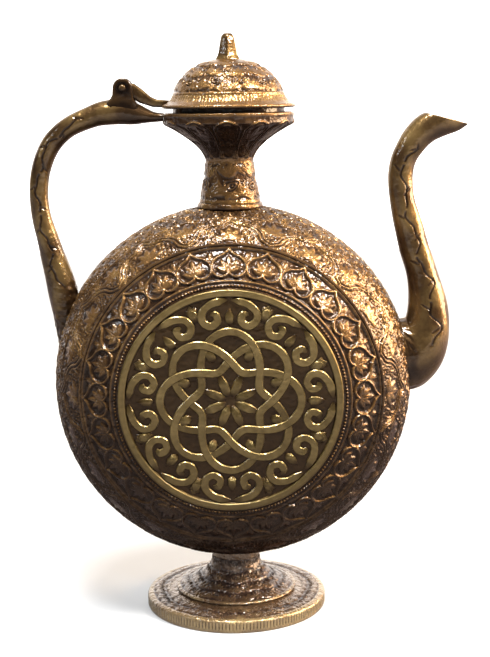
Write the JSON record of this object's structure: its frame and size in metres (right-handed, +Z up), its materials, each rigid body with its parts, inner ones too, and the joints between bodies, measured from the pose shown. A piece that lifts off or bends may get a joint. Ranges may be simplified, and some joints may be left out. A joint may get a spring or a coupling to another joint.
{
  "type": "lidded water jug",
  "caption": "Round flat-sided metal water jug on a pedestal foot, with a swan-neck spout, strap handle, flared mouth and hinged domed lid with a knob.",
  "frame": {"origin": "on the common axis of neck, lid and foot, in the plane that the foot stands on", "axes": "+Z up along the neck's axis; +X from the handle to the spout; the front medallion faces -Y"},
  "size_m": [0.2254, 0.1026, 0.3],
  "materials": {
    "brass_dark": "cast brass with relief, copper-brown patina dark in the hollows, glossy on the high points",
    "brass_warm": "polished warm brass with light patina",
    "brass_olive": "satin olive-gold brass"
  },
  "bodies": {
    "jug": {"body_front_shell": "brass_dark", "body_back_shell": "brass_dark", "front_medallion": "brass_olive", "back_medallion": "brass_olive", "foot_disc": "brass_warm", "foot_bell": "brass_dark", "neck_collar": "brass_warm", "neck_stem": "brass_dark", "mouth_cup": "brass_dark", "spout": "brass_olive", "handle": "brass_olive", "hinge_pin": "brass_warm"},
    "lid": {"lid_dome": "brass_dark", "lid_locating_ring": "brass_dark", "lid_finial": "brass_olive", "lid_arm": "brass_dark"}
  },
  "joints": [
    {"name": "lid_hinge", "type": "hinge", "parent": "jug", "child": "lid", "pos_m": [-0.0534, 0, 0.2736], "axis": [0, -1, 0], "range_deg": [0, 110]}
  ]
}
